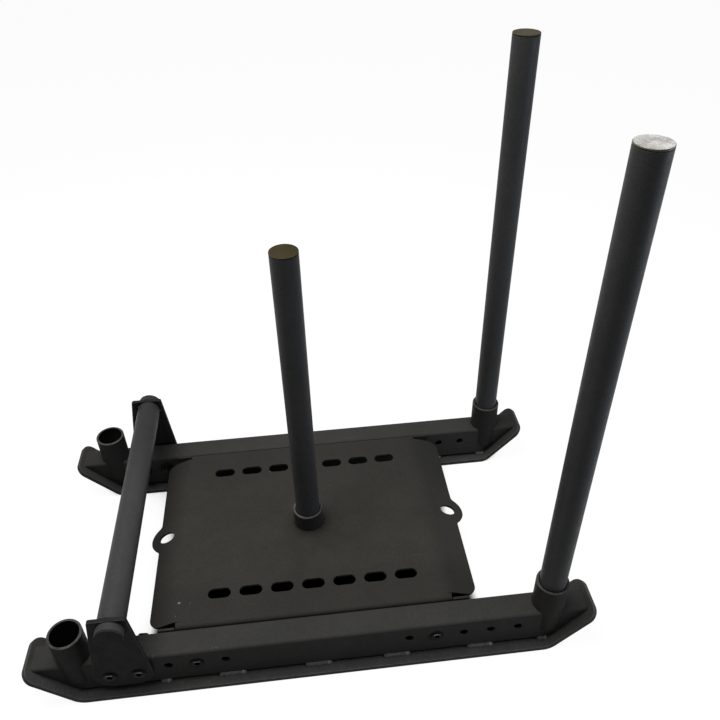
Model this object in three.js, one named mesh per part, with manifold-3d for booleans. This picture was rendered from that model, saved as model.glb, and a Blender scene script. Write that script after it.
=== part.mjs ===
// A push sled: two rails on bent-up skids, a folded deck plate with a post for weight plates,
// a low push bar at the front and two tall uprights at the rear that lift out of their sockets.
// Millimetres. +X is the rear, where the uprights stand, +Y the right-hand rail, +Z up.
// The origin is on the floor under the middle of the sled.

import * as THREE from 'three';
import { mergeVertices } from 'three/addons/utils/BufferGeometryUtils.js';
import Module from 'manifold-3d';

const wasm = await Module();
wasm.setup();

// Fits and facets that every piece shares
const seatGap = 0.3;
const overrun = 6;
const mergeTolerance = 1e-4;
const largeRoundSides = 32;
const smallRoundSides = 12;
const bendSteps = 3;
const domeSteps = 3;

// Rails: rectangular tube, with a row of holes near each end
const railLineY = 250;
const railWidth = 50;
const railHeight = 80;
const railWall = 4;
const railCornerRadius = 6;
const railHoleRise = 48;
const railHoleToSocket = 62;
const railHolePitch = 51.2;
const railHolesPerEnd = 5;

// Skids: flat bar under each rail, bent up at both ends
const skidThickness = 10;
const skidWidth = 90;
const skidBendLineX = 436.5;
const skidBendAngle = THREE.MathUtils.degToRad(47.5);
const skidBendRadius = 32;
const noseCornerRadius = 22;
const noseEdgeRound = 3;

// Sockets: round sleeves let into the rails from above, each with a stop inside
const socketLineX = 435;
const socketOuterRadius = 30.15;
const socketInnerRadius = 25.65;
const socketProud = 62;
const socketDepth = 50;
const socketAboveSkid = 5;
const stopLift = 4;
const stopThickness = 6;

// Poles: the tube that the uprights, the weight post and the low bar are cut from
const poleRadius = 24.15;
const poleWall = 3.2;
const capFlange = 3;
const capEdge = 1;
const capPlug = 8;
const uprightTop = 973;
const postTop = 730;

// Low push bar and its two bracket plates
const barLineX = -342;
const barLineZ = 197;
const barEndProud = 16.7;
const bracketThickness = 8;
const bracketFootZ = 24;
const bracketHeadZ = 222;
const bracketHeadFrontX = -376;
const bracketHeadRearX = -312;
const bracketHeadRadius = 4;
const bracketFootFrontX = -407;
const bracketFootRearX = -294;
const bracketFootRadius = 34;

// Deck: sheet folded down along the rails, with a lip bent down at each end
const deckThickness = 5;
const deckProud = 3;
const deckFlatHalfLength = 258;
const deckFlangeDepth = 60;
const deckFoldRadius = 9;
const lipAngle = THREE.MathUtils.degToRad(20.5);
const lipBendRadius = 14;
const lipReach = 53;
const lipSetIn = 13.7;
const lipCornerRadius = 22;
const earReach = 38;
const earRadius = 34.5;
const earEyeRadius = 17;
const earFilletRadius = 12;
const slotsPerRow = 7;
const slotPitch = 60;
const slotLength = 44;
const slotWidth = 22;
const slotRowY = 158;

// Socket of the weight post, and the two ribs beside it under the deck
const postSocketProud = 38;
const postSocketDepth = 38;
const ribThickness = 6;
const ribDepth = 35;

// Fasteners: low-head bolts outside and flanged nuts inside
const boltRadius = 7.9;
const boltHeadRadius = 12.5;
const boltHeadHeight = 3;
const boltHeadRim = 1;
const boltKeyAcrossFlats = 10;
const boltKeyDepth = 5;
const boltPoint = 1.5;
const boltBeyondNut = 3;
const nutAcrossFlats = 24;
const nutHeight = 14;
const nutFlangeRadius = 16;
const nutFlangeThickness = 3;
const hexagonSides = 6;

// Places that follow from the sizes above
const railTop = skidThickness + railHeight;
const railOuterY = railLineY + railWidth / 2;
const railInnerY = railLineY - railWidth / 2;
const railHoleZ = skidThickness + railHoleRise;
const railHoleRadius = boltRadius + seatGap;
const lastStation = socketLineX - railHoleToSocket;
const railStations = Array.from({ length: railHolesPerEnd }, (_, i) => lastStation - i * railHolePitch).reverse();
const deckBoltX = railStations[1];
const bracketBoltXs = [railStations[3], railStations[4]];
const noseX = skidBendLineX + railTop / Math.tan(skidBendAngle);
const bendCentreX = skidBendLineX - skidBendRadius * Math.tan(skidBendAngle / 2);
const socketTop = railTop + socketProud;
const socketFoot = railTop - socketDepth;
const stopTop = socketFoot + stopLift + stopThickness;
const poleBore = poleRadius - poleWall;
const capStack = seatGap + capFlange;
const deckTop = railTop + deckProud;
const deckUnderside = deckTop - deckThickness;
const deckOuterY = railInnerY - seatGap;
const deckInnerY = deckOuterY - deckThickness;
const lipHalfWidth = deckOuterY - lipSetIn;
const lipBendX = deckFlatHalfLength + lipBendRadius * Math.tan(lipAngle / 2);
const postSocketTop = deckTop + postSocketProud;
const postSocketFoot = deckUnderside - postSocketDepth;
const postStopTop = postSocketFoot + stopThickness;
const bracketInnerY = railOuterY + seatGap;
const bracketOuterY = bracketInnerY + bracketThickness;
const barTubeEnd = bracketOuterY + barEndProud - capStack;
const quarterTurn = Math.PI / 2;
const sides = { left: -1, right: 1 };
const ends = { front: -1, rear: 1 };

// Finishes
const finish = (colour, roughness, metalness) => () =>
  new THREE.MeshStandardMaterial({ color: colour, roughness, metalness });
const railFinish = finish(0x2b2b2c, 0.62, 0.2);
const skidFinish = finish(0x313130, 0.66, 0.2);
const deckFinish = finish(0x3a3934, 0.7, 0.2);
const poleFinish = finish(0x303135, 0.5, 0.25);
const capFinish = finish(0x45403a, 0.45, 0.2);
const boltFinish = finish(0x1e1e1f, 0.4, 0.6);

// Joining and cutting

function toSolid(geometry) {
  const bare = geometry.clone();
  bare.deleteAttribute('normal');
  bare.deleteAttribute('uv');
  const merged = mergeVertices(bare, mergeTolerance);
  const mesh = new wasm.Mesh({
    numProp: 3,
    vertProperties: new Float32Array(merged.attributes.position.array),
    triVerts: new Uint32Array(merged.index.array),
  });
  return new wasm.Manifold(mesh);
}

function toGeometry(body) {
  const mesh = body.getMesh();
  const geometry = new THREE.BufferGeometry();
  geometry.setAttribute('position', new THREE.BufferAttribute(new Float32Array(mesh.vertProperties), 3));
  geometry.setIndex(new THREE.BufferAttribute(new Uint32Array(mesh.triVerts), 1));
  geometry.computeVertexNormals();
  return geometry;
}

function join(...pieces) {
  return toGeometry(pieces.map(toSolid).reduce((all, piece) => all.add(piece)));
}

function common(...pieces) {
  return toGeometry(pieces.map(toSolid).reduce((all, piece) => all.intersect(piece)));
}

function cut(piece, tools) {
  return toGeometry(tools.map(toSolid).reduce((rest, tool) => rest.subtract(tool), toSolid(piece)));
}

// Forms

// An outline with its corners rounded: each corner is [across, up, radius], counterclockwise
function roundedOutline(corners) {
  const shape = new THREE.Shape();
  const points = corners.map(([across, up]) => new THREE.Vector2(across, up));
  const cornerAt = (i) => points[(i + points.length) % points.length];
  corners.forEach(([, , radius], i) => {
    const arriving = cornerAt(i).clone().sub(cornerAt(i - 1)).normalize();
    const leaving = cornerAt(i + 1).clone().sub(cornerAt(i)).normalize();
    const turn = arriving.angleTo(leaving);
    const start = cornerAt(i).clone().addScaledVector(arriving, -radius * Math.tan(turn / 2));
    const facing = arriving.angle() - quarterTurn;
    const centre = new THREE.Vector2(Math.cos(facing), Math.sin(facing)).multiplyScalar(-radius).add(start);
    if (radius > 0) shape.absarc(centre.x, centre.y, radius, facing, facing + turn, false);
    else if (i > 0) shape.lineTo(start.x, start.y);
    else shape.moveTo(start.x, start.y);
  });
  shape.closePath();
  return shape;
}

// A shape drawn in (x, z), run along Y
function prismAlongY(shape, fromY, toY) {
  const geometry = prismUpwards(shape, -toY, -fromY);
  return geometry.rotateX(quarterTurn);
}

// A shape drawn in (y, z), run along X
function prismAlongX(shape, fromX, toX) {
  const geometry = prismUpwards(shape, fromX, toX);
  return geometry.rotateX(quarterTurn).rotateZ(quarterTurn);
}

// A shape drawn in (x, y), run upwards
function prismUpwards(shape, fromZ, toZ) {
  const geometry = new THREE.ExtrudeGeometry(shape, {
    depth: toZ - fromZ,
    bevelEnabled: false,
    curveSegments: bendSteps,
  });
  return geometry.translate(0, 0, fromZ);
}

// A turned solid: the profile is [radius, height] pairs, up the outside
function turned(profile, roundSides) {
  const points = profile.map(([radius, height]) => new THREE.Vector2(radius, height));
  return new THREE.LatheGeometry(points, roundSides).rotateX(quarterTurn);
}

function rod(radius, fromZ, toZ, roundSides = largeRoundSides) {
  return turned([[0, fromZ], [radius, fromZ], [radius, toZ], [0, toZ]], roundSides);
}

function sleeve(innerRadius, outerRadius, fromZ, toZ, roundSides = largeRoundSides) {
  const profile = [
    [innerRadius, fromZ],
    [outerRadius, fromZ],
    [outerRadius, toZ],
    [innerRadius, toZ],
    [innerRadius, fromZ],
  ];
  return turned(profile, roundSides);
}

function rodAlongY(radius, halfLength, roundSides = largeRoundSides) {
  return rod(radius, -halfLength, halfLength, roundSides).rotateX(-quarterTurn);
}

// Skids, drawn about the middle of their rail

// How far along the sled the skid's upper face, moved in by an offset, reaches a height
function slopeX(height, offset) {
  const along = (skidThickness + offset) / Math.sin(skidBendAngle);
  return skidBendLineX + height / Math.tan(skidBendAngle) - along;
}

// One end's bend in the skid, in flat facets from one angle to another, zero being the flat sole
function traceBend(shape, end, radius, from, to) {
  for (let i = 0; i <= bendSteps; i += 1) {
    const angle = from + ((to - from) * i) / bendSteps;
    shape.lineTo(
      end * (bendCentreX + radius * Math.sin(angle)),
      skidBendRadius - radius * Math.cos(angle),
    );
  }
}

// The skid's upper face, moved in by an offset, from the rear tip to the front one
function traceUpperFace(shape, height, offset) {
  const radius = skidBendRadius - skidThickness - offset;
  shape.lineTo(slopeX(height, offset), height);
  traceBend(shape, ends.rear, radius, skidBendAngle, 0);
  traceBend(shape, ends.front, radius, 0, skidBendAngle);
  shape.lineTo(-slopeX(height, offset), height);
}

// A place by the tip of one end: along the slope from the tip, and in from the outer face
function byNose(end, along, inwards) {
  return [
    end * (noseX + along * Math.cos(skidBendAngle) - inwards * Math.sin(skidBendAngle)),
    railTop + along * Math.sin(skidBendAngle) + inwards * Math.cos(skidBendAngle),
  ];
}

// The outer faces end level with the top of the rail, and the tips are square to the sheet
function skidOutline() {
  const shape = new THREE.Shape();
  const { rear, front } = ends;
  const [, innerZ] = byNose(rear, -noseEdgeRound, skidThickness);
  shape.moveTo(bendCentreX, 0);
  traceBend(shape, rear, skidBendRadius, 0, skidBendAngle);
  shape.lineTo(...byNose(rear, -noseEdgeRound, 0));
  shape.quadraticCurveTo(...byNose(rear, 0, 0), ...byNose(rear, 0, noseEdgeRound));
  shape.lineTo(...byNose(rear, 0, skidThickness - noseEdgeRound));
  shape.quadraticCurveTo(...byNose(rear, 0, skidThickness), slopeX(innerZ, 0), innerZ);
  traceUpperFace(shape, innerZ, 0);
  shape.quadraticCurveTo(
    ...byNose(front, 0, skidThickness),
    ...byNose(front, 0, skidThickness - noseEdgeRound),
  );
  shape.lineTo(...byNose(front, 0, noseEdgeRound));
  shape.quadraticCurveTo(...byNose(front, 0, 0), ...byNose(front, -noseEdgeRound, 0));
  traceBend(shape, front, skidBendRadius, skidBendAngle, 0);
  return shape;
}

// What is cut off one corner of one tip, square to the sheet
function noseCornerTool(end, side) {
  const edgeY = side * (skidWidth / 2);
  const centreY = edgeY - side * noseCornerRadius;
  const shape = new THREE.Shape();
  shape.moveTo(overrun, centreY);
  shape.lineTo(0, centreY);
  shape.absarc(-noseCornerRadius, centreY, noseCornerRadius, 0, side * quarterTurn, side === sides.left);
  shape.lineTo(-noseCornerRadius, edgeY + side * overrun);
  shape.lineTo(overrun, edgeY + side * overrun);
  const tool = prismUpwards(shape, -overrun, skidThickness + overrun);
  tool.rotateY(-skidBendAngle).translate(noseX, 0, railTop);
  return end === ends.rear ? tool : tool.rotateZ(Math.PI);
}

function skidPlate() {
  const profile = prismAlongY(skidOutline(), -skidWidth / 2, skidWidth / 2);
  const tools = Object.values(ends).flatMap((end) => Object.values(sides).map((side) => noseCornerTool(end, side)));
  return cut(profile, tools);
}

// The space over the skid plate, clear of it by an offset, up to a height
function overSkid(height, offset) {
  const shape = new THREE.Shape();
  shape.moveTo(-slopeX(height, offset), height);
  traceUpperFace(shape, height, offset);
  return prismAlongY(shape, -skidWidth / 2, skidWidth / 2);
}

// Rails

function railSection(inset) {
  const across = railWidth / 2 - inset;
  const bottom = skidThickness + seatGap + inset;
  const top = railTop - inset;
  const radius = railCornerRadius - inset;
  return roundedOutline([
    [-across, bottom, radius],
    [across, bottom, radius],
    [across, top, radius],
    [-across, top, radius],
  ]);
}

// The space that the sockets take up in the rail, clear of the skid's sloping ends
function socketSpace(radius, fromZ, toZ) {
  const hole = rod(radius, fromZ, toZ);
  const row = Object.values(ends).map((end) => hole.clone().translate(end * socketLineX, 0, 0));
  return common(join(...row), overSkid(toZ, socketAboveSkid));
}

function railTube() {
  const bar = common(prismAlongX(railSection(0), -noseX, noseX), overSkid(railTop, seatGap));
  const bore = rodAlongY(railHoleRadius, railWidth, smallRoundSides);
  const tools = [
    prismAlongX(railSection(railWall), -noseX - overrun, noseX + overrun),
    socketSpace(socketOuterRadius + seatGap, socketFoot - seatGap, railTop + overrun),
  ];
  for (const end of Object.values(ends)) {
    for (const station of railStations) {
      tools.push(bore.clone().translate(end * station, 0, railHoleZ));
    }
  }
  return cut(bar, tools);
}

// Sockets, drawn about their own axis at the rear end

function overRearSkid(height) {
  return overSkid(height, socketAboveSkid + seatGap).translate(-socketLineX, 0, 0);
}

function socketSleeve() {
  const ring = sleeve(socketInnerRadius, socketOuterRadius, socketFoot, socketTop);
  return common(ring, overRearSkid(socketTop + overrun));
}

function socketStop() {
  const disc = rod(socketInnerRadius - seatGap, socketFoot + stopLift, stopTop);
  return common(disc, overRearSkid(socketTop + overrun));
}

// Poles, each a length of tube with a cap whose plug sits in its end

function poleTube(fromZ, toZ) {
  return sleeve(poleBore, poleRadius, fromZ, toZ);
}

function poleCap() {
  const plugRadius = poleBore - seatGap;
  const flangeTop = capStack;
  const profile = [
    [0, -capPlug],
    [plugRadius, -capPlug],
    [plugRadius, seatGap],
    [poleRadius, seatGap],
    [poleRadius, flangeTop - capEdge],
    [poleRadius - capEdge, flangeTop],
    [0, flangeTop],
  ];
  return turned(profile, largeRoundSides);
}

// Bracket plates of the low push bar

function barBracket() {
  const outline = roundedOutline([
    [bracketFootFrontX, bracketFootZ, bracketFootRadius],
    [bracketFootRearX, bracketFootZ, bracketFootRadius],
    [bracketHeadRearX, bracketHeadZ, bracketHeadRadius],
    [bracketHeadFrontX, bracketHeadZ, bracketHeadRadius],
  ]);
  const across = bracketThickness + overrun;
  const boltHole = rodAlongY(railHoleRadius, across, smallRoundSides);
  const tools = [rodAlongY(poleRadius + seatGap, across).translate(barLineX, 0, barLineZ)];
  for (const station of bracketBoltXs) {
    tools.push(boltHole.clone().translate(-station, 0, railHoleZ));
  }
  return cut(prismAlongY(outline, -bracketThickness / 2, bracketThickness / 2), tools);
}

// Deck

// The fold across the sled: a flat top with a flange down each side
function deckFold() {
  const foot = deckTop - deckFlangeDepth;
  const inner = deckFoldRadius - deckThickness;
  const bendY = deckOuterY - deckFoldRadius;
  const bendZ = deckTop - deckFoldRadius;
  const shape = new THREE.Shape();
  shape.absarc(bendY, bendZ, deckFoldRadius, 0, quarterTurn, false);
  shape.absarc(-bendY, bendZ, deckFoldRadius, quarterTurn, Math.PI, false);
  shape.lineTo(-deckOuterY, foot);
  shape.lineTo(-deckInnerY, foot);
  shape.absarc(-bendY, bendZ, inner, Math.PI, quarterTurn, true);
  shape.absarc(bendY, bendZ, inner, quarterTurn, 0, true);
  shape.lineTo(deckInnerY, foot);
  shape.lineTo(deckOuterY, foot);
  return shape;
}

// The sheet along the sled, with a lip bent down at each end, past the tips of the ears
function deckProfile() {
  const centreX = deckFlatHalfLength;
  const centreZ = deckTop - lipBendRadius;
  const inner = lipBendRadius - deckThickness;
  const length = earReach + earRadius + overrun;
  const tip = (end, radius) => [
    end * (centreX + radius * Math.sin(lipAngle) + length * Math.cos(lipAngle)),
    centreZ + radius * Math.cos(lipAngle) - length * Math.sin(lipAngle),
  ];
  const shape = new THREE.Shape();
  shape.absarc(-centreX, centreZ, inner, quarterTurn + lipAngle, quarterTurn, true);
  shape.absarc(centreX, centreZ, inner, quarterTurn, quarterTurn - lipAngle, true);
  shape.lineTo(...tip(ends.rear, inner));
  shape.lineTo(...tip(ends.rear, lipBendRadius));
  shape.absarc(centreX, centreZ, lipBendRadius, quarterTurn - lipAngle, quarterTurn, false);
  shape.absarc(-centreX, centreZ, lipBendRadius, quarterTurn, quarterTurn + lipAngle, false);
  shape.lineTo(...tip(ends.front, lipBendRadius));
  shape.lineTo(...tip(ends.front, inner));
  return shape;
}

// The rear lip laid flat, seen from above: it starts behind the bend and narrows into the ear
function lipPlan() {
  const cornerX = lipReach - lipCornerRadius;
  const cornerY = lipHalfWidth - lipCornerRadius;
  const filletX = lipReach + earFilletRadius;
  const filletY = Math.sqrt((earRadius + earFilletRadius) ** 2 - (filletX - earReach) ** 2);
  const earAngle = Math.atan2(filletY, filletX - earReach);
  const shape = new THREE.Shape();
  shape.absarc(cornerX, -cornerY, lipCornerRadius, -quarterTurn, 0, false);
  shape.absarc(filletX, -filletY, earFilletRadius, Math.PI, Math.PI - earAngle, true);
  shape.lineTo(earReach, 0);
  shape.absarc(filletX, filletY, earFilletRadius, Math.PI + earAngle, Math.PI, true);
  shape.absarc(cornerX, cornerY, lipCornerRadius, 0, quarterTurn, false);
  shape.lineTo(-lipReach, lipHalfWidth);
  shape.lineTo(-lipReach, -lipHalfWidth);
  return shape;
}

// Everything inside the sheet's outline: the flat part, and a lip at each end
function sheetOutline() {
  const ear = rod(earRadius, -deckTop, deckTop).translate(earReach, 0, 0);
  const eye = rod(earEyeRadius, -deckTop - overrun, deckTop + overrun).translate(earReach, 0, 0);
  const lip = cut(join(prismUpwards(lipPlan(), -deckTop, deckTop), ear), [eye]);
  lip.rotateY(lipAngle).translate(lipBendX, 0, deckTop);
  const flat = new THREE.BoxGeometry(2 * deckFlatHalfLength, 2 * lipHalfWidth, 2 * deckTop);
  return join(flat.translate(0, 0, deckTop), lip, lip.clone().rotateZ(Math.PI));
}

function slotOutline(middleX, middleY) {
  const radius = slotWidth / 2;
  const reach = slotLength / 2 - radius;
  const shape = new THREE.Shape();
  shape.absarc(middleX + reach, middleY, radius, -quarterTurn, quarterTurn, false);
  shape.absarc(middleX - reach, middleY, radius, quarterTurn, 3 * quarterTurn, false);
  return shape;
}

function deckPlate() {
  const fold = prismAlongX(deckFold(), -deckFlatHalfLength, deckFlatHalfLength);
  const sheet = common(prismAlongY(deckProfile(), -lipHalfWidth - overrun, lipHalfWidth + overrun), sheetOutline());
  const bore = rodAlongY(railHoleRadius, railOuterY, smallRoundSides);
  const tools = [rod(socketOuterRadius + seatGap, deckUnderside - overrun, deckTop + overrun)];
  for (const end of Object.values(ends)) {
    tools.push(bore.clone().translate(end * deckBoltX, 0, railHoleZ));
  }
  for (const side of Object.values(sides)) {
    for (let i = 0; i < slotsPerRow; i += 1) {
      const slot = slotOutline((i - (slotsPerRow - 1) / 2) * slotPitch, side * slotRowY);
      tools.push(prismUpwards(slot, deckUnderside - overrun, deckTop + overrun));
    }
  }
  return cut(join(fold, sheet), tools);
}

function deckRib() {
  const across = deckInnerY - seatGap;
  const top = deckUnderside - seatGap;
  const shape = roundedOutline([
    [-across, top - ribDepth, 0],
    [across, top - ribDepth, 0],
    [across, top, deckFoldRadius],
    [-across, top, deckFoldRadius],
  ]);
  return prismAlongX(shape, -ribThickness / 2, ribThickness / 2);
}

// Fasteners, drawn with the outer face of what they clamp at zero and the head upwards

const hexagonTurn = (2 * Math.PI) / hexagonSides;

function hexagonRadius(acrossFlats) {
  return acrossFlats / 2 / Math.cos(hexagonTurn / 2);
}

function hexagon(acrossFlats) {
  const points = Array.from({ length: hexagonSides }, (_, i) =>
    new THREE.Vector2(Math.cos(i * hexagonTurn), Math.sin(i * hexagonTurn)));
  return new THREE.Shape(points.map((point) => point.multiplyScalar(hexagonRadius(acrossFlats))));
}

function bolt(clamped) {
  const point = -(clamped + seatGap + nutHeight + boltBeyondNut);
  const domeHeight = boltHeadHeight - boltHeadRim;
  const crownRadius = hexagonRadius(boltKeyAcrossFlats);
  const profile = [
    [0, point],
    [boltRadius - boltPoint, point],
    [boltRadius, point + boltPoint],
    [boltRadius, seatGap],
    [boltHeadRadius, seatGap],
  ];
  for (let i = 0; i <= domeSteps; i += 1) {
    const angle = (i * quarterTurn) / domeSteps;
    profile.push([
      crownRadius + (boltHeadRadius - crownRadius) * Math.cos(angle),
      seatGap + boltHeadRim + domeHeight * Math.sin(angle),
    ]);
  }
  const headTop = seatGap + boltHeadHeight;
  profile.push([0, headTop]);
  const key = prismUpwards(
    hexagon(boltKeyAcrossFlats),
    headTop - boltKeyDepth,
    headTop + overrun,
  );
  return cut(turned(profile, smallRoundSides), [key]);
}

function flangedNut(clamped) {
  const face = -clamped - seatGap;
  const blank = join(
    prismUpwards(hexagon(nutAcrossFlats), face - nutHeight, face),
    rod(nutFlangeRadius, face - nutFlangeThickness, face, smallRoundSides),
  );
  const bore = rod(boltRadius + seatGap, face - nutHeight - overrun, face + overrun, smallRoundSides);
  return cut(blank, [bore]);
}

// The sled

function addPiece(group, name, geometry, material) {
  const piece = new THREE.Mesh(geometry, material());
  piece.name = name;
  group.add(piece);
  return piece;
}

function addGroup(parent, x, y, z) {
  const group = new THREE.Group();
  group.position.set(x, y, z);
  parent.add(group);
  return group;
}

function addFastener(parent, name, x, side, outerY, innerY) {
  const station = addGroup(parent, x, side * outerY, railHoleZ);
  station.rotation.x = -side * quarterTurn;
  addPiece(station, `${name}_bolt`, bolt(outerY - innerY), boltFinish);
  addPiece(station, `${name}_nut`, flangedNut(outerY - innerY), boltFinish);
}

const sled = new THREE.Group();
const railGeometry = railTube();
const skidGeometry = skidPlate();
const socketGeometry = socketSleeve();
const stopGeometry = socketStop();
const capGeometry = poleCap();
const bracketGeometry = barBracket();
const ribGeometry = deckRib();

for (const [sideName, side] of Object.entries(sides)) {
  const rail = addGroup(sled, 0, side * railLineY, 0);
  addPiece(rail, `${sideName}_rail_tube`, railGeometry, railFinish);
  addPiece(rail, `${sideName}_skid_plate`, skidGeometry, skidFinish);
  for (const [endName, end] of Object.entries(ends)) {
    const corner = addGroup(rail, end * socketLineX, 0, 0);
    corner.rotation.z = end === ends.rear ? 0 : Math.PI;
    addPiece(corner, `${endName}_${sideName}_socket`, socketGeometry, railFinish);
    addPiece(corner, `${endName}_${sideName}_socket_stop`, stopGeometry, railFinish);
  }
  const upright = addGroup(rail, ends.rear * socketLineX, 0, 0);
  addPiece(upright, `${sideName}_upright`, poleTube(stopTop + seatGap, uprightTop - capStack), poleFinish);
  addPiece(upright, `${sideName}_upright_cap`, capGeometry, capFinish).position.z = uprightTop - capStack;
  const bracket = addPiece(sled, `${sideName}_bar_bracket`, bracketGeometry, railFinish);
  bracket.position.y = side * (bracketInnerY + bracketOuterY) / 2;
  const barEnd = addGroup(sled, barLineX, side * barTubeEnd, barLineZ);
  barEnd.rotation.x = -side * quarterTurn;
  addPiece(barEnd, `low_push_bar_${sideName}_cap`, capGeometry, poleFinish);
  bracketBoltXs.forEach((station, i) => {
    addFastener(sled, `${sideName}_bracket_${['rear', 'front'][i]}`, -station, side, bracketOuterY, railInnerY);
  });
  for (const [endName, end] of Object.entries(ends)) {
    addFastener(sled, `${sideName}_deck_${endName}`, end * deckBoltX, side, railOuterY, deckInnerY);
  }
}

const lowBar = addPiece(sled, 'low_push_bar', poleTube(-barTubeEnd, barTubeEnd), poleFinish);
lowBar.position.set(barLineX, 0, barLineZ);
lowBar.rotation.x = quarterTurn;

addPiece(sled, 'deck_plate', deckPlate(), deckFinish);
for (const [endName, end] of Object.entries(ends)) {
  const rib = addPiece(sled, `deck_${endName}_rib`, ribGeometry, deckFinish);
  rib.position.x = end * (socketOuterRadius + seatGap + ribThickness / 2);
}
addPiece(sled, 'post_socket', sleeve(socketInnerRadius, socketOuterRadius, postSocketFoot, postSocketTop), railFinish);
addPiece(sled, 'post_socket_stop', rod(socketInnerRadius - seatGap, postSocketFoot, postStopTop), railFinish);
addPiece(sled, 'weight_post', poleTube(postStopTop + seatGap, postTop - capStack), poleFinish);
addPiece(sled, 'weight_post_cap', capGeometry, capFinish).position.z = postTop - capStack;

export default sled;
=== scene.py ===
# %% [markdown]
# # A push sled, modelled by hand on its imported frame
#
# The frame comes from the CAD program: every piece at its real place, in metres, with +X
# towards the tall uprights and +Z up. This lesson dresses it. Each piece is modelled again
# with edit-mode tools, given rounded edges and a powder coat, and set to ride on the frame.

# %% Load the frame
import math
import bmesh
import bpy
from mathutils import Matrix, Vector


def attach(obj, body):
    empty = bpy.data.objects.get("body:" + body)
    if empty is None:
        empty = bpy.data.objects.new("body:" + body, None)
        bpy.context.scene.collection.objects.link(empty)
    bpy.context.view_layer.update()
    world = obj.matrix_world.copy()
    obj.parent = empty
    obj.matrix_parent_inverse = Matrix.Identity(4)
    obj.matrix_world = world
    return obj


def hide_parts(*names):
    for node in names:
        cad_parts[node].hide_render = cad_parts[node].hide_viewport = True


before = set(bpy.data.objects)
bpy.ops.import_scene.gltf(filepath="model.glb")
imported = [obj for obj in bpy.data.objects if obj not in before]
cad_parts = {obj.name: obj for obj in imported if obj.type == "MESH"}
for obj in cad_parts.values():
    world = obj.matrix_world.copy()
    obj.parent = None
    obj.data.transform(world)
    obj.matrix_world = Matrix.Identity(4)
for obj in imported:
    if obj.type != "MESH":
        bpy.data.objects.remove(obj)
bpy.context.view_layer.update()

mm = 0.001
sides = {"left": -1, "right": 1}
ends = {"front": -1, "rear": 1}

# %% [markdown]
# ## The eye
#
# The camera could be framed by hand until things look right. Here it was worked out from edge
# points instead, so its place and its turn are plain numbers: 38 degrees down, a little to the
# right, and rolled by a degree and a half.

# %% Camera
camera_place = Vector((0.0192, -1.01935, 1.2902))
pitch, yaw, roll = (math.radians(a) for a in (37.57, 5.43, 1.47))
looking = Vector((math.sin(yaw) * math.cos(pitch), math.cos(yaw) * math.cos(pitch), -math.sin(pitch)))
level = Vector((math.cos(yaw), -math.sin(yaw), 0))
down = looking.cross(level)
across = math.cos(roll) * level + math.sin(roll) * down
upwards = math.sin(roll) * level - math.cos(roll) * down

eye = bpy.data.objects.new("eye", bpy.data.cameras.new("eye"))
eye.data.sensor_width = 36
eye.data.lens = 36.557
turned_to = Matrix((across, upwards, -looking)).transposed().to_4x4()
eye.matrix_world = Matrix.Translation(camera_place) @ turned_to
bpy.context.scene.collection.objects.link(eye)
bpy.context.scene.camera = eye
print("camera at", tuple(eye.location), "lens", eye.data.lens)

# %% [markdown]
# ## Shader nodes, one line each
#
# The room, the floor and all the coats are made of shader nodes. In the editor each node is
# added, set and wired by hand. These helpers do the three at once, with a plain value or a
# link for every socket.

# %% Adding and wiring nodes


def feed(tree, node, **inputs):
    """Sets or wires sockets: _0 is the first one, and Peel_Scale the one named Peel Scale."""
    for key, value in inputs.items():
        name = key.replace("_", " ").strip()
        socket = node.inputs[int(name) if name.isdigit() else name]
        if isinstance(value, bpy.types.NodeSocket):
            tree.links.new(value, socket)
        else:
            socket.default_value = value
    return node


def place(tree, kind, settings=None, **inputs):
    """Adds a node to a tree."""
    node = tree.nodes.new("ShaderNode" + kind)
    for key, value in (settings or {}).items():
        setattr(node, key, value)
    return feed(tree, node, **inputs)


def maths(tree, operation, a, b, clamp=False):
    return place(tree, "Math", {"operation": operation, "use_clamp": clamp}, _0=a, _1=b).outputs[0]


def times(tree, a, b, clamp=False):
    return maths(tree, "MULTIPLY", a, b, clamp)


def plus(tree, a, b, clamp=False):
    return maths(tree, "ADD", a, b, clamp)


def minus(tree, a, b):
    return maths(tree, "SUBTRACT", a, b)


def vector(tree, operation, **inputs):
    gives = "Value" if operation in ("DISTANCE", "DOT_PRODUCT") else "Vector"
    return place(tree, "VectorMath", {"operation": operation}, **inputs).outputs[gives]


def between(tree, value, low, high, top=1.0):
    """Nothing under the low value, the top over the high one, and smooth between them."""
    return place(tree, "MapRange", {"interpolation_type": "SMOOTHSTEP"}, Value=value, From_Min=low,
                 From_Max=high, To_Max=top).outputs["Result"]


def tint(tree, factor, under, over):
    """One colour laid over another."""
    return place(tree, "Mix", {"data_type": "RGBA"}, _0=factor, _6=under, _7=over).outputs[2]


def here(tree):
    """The place on the piece, in its own axes."""
    return place(tree, "TexCoord").outputs["Object"]


def noise(tree, spot, scale, detail, roughness=0.5, gives="Fac"):
    return place(tree, "TexNoise", Vector=spot, Scale=scale, Detail=detail,
                 Roughness=roughness).outputs[gives]


def mix_shaders(tree, factor, one, other):
    return place(tree, "MixShader", _0=factor, _1=one.outputs[0], _2=other.outputs[0])


def seen_directly(tree):
    """1 for what the camera sees, straight or in a mirror or glass."""
    ray = place(tree, "LightPath").outputs
    straight_or_mirrored = maths(tree, "MAXIMUM", ray["Is Camera Ray"], ray["Is Glossy Ray"])
    return maths(tree, "MAXIMUM", straight_or_mirrored, ray["Is Transmission Ray"])


def empty_tree(owner):
    """The node tree of a material or a world, with nothing in it."""
    owner.use_nodes = True
    owner.node_tree.nodes.clear()
    return owner.node_tree


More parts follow.
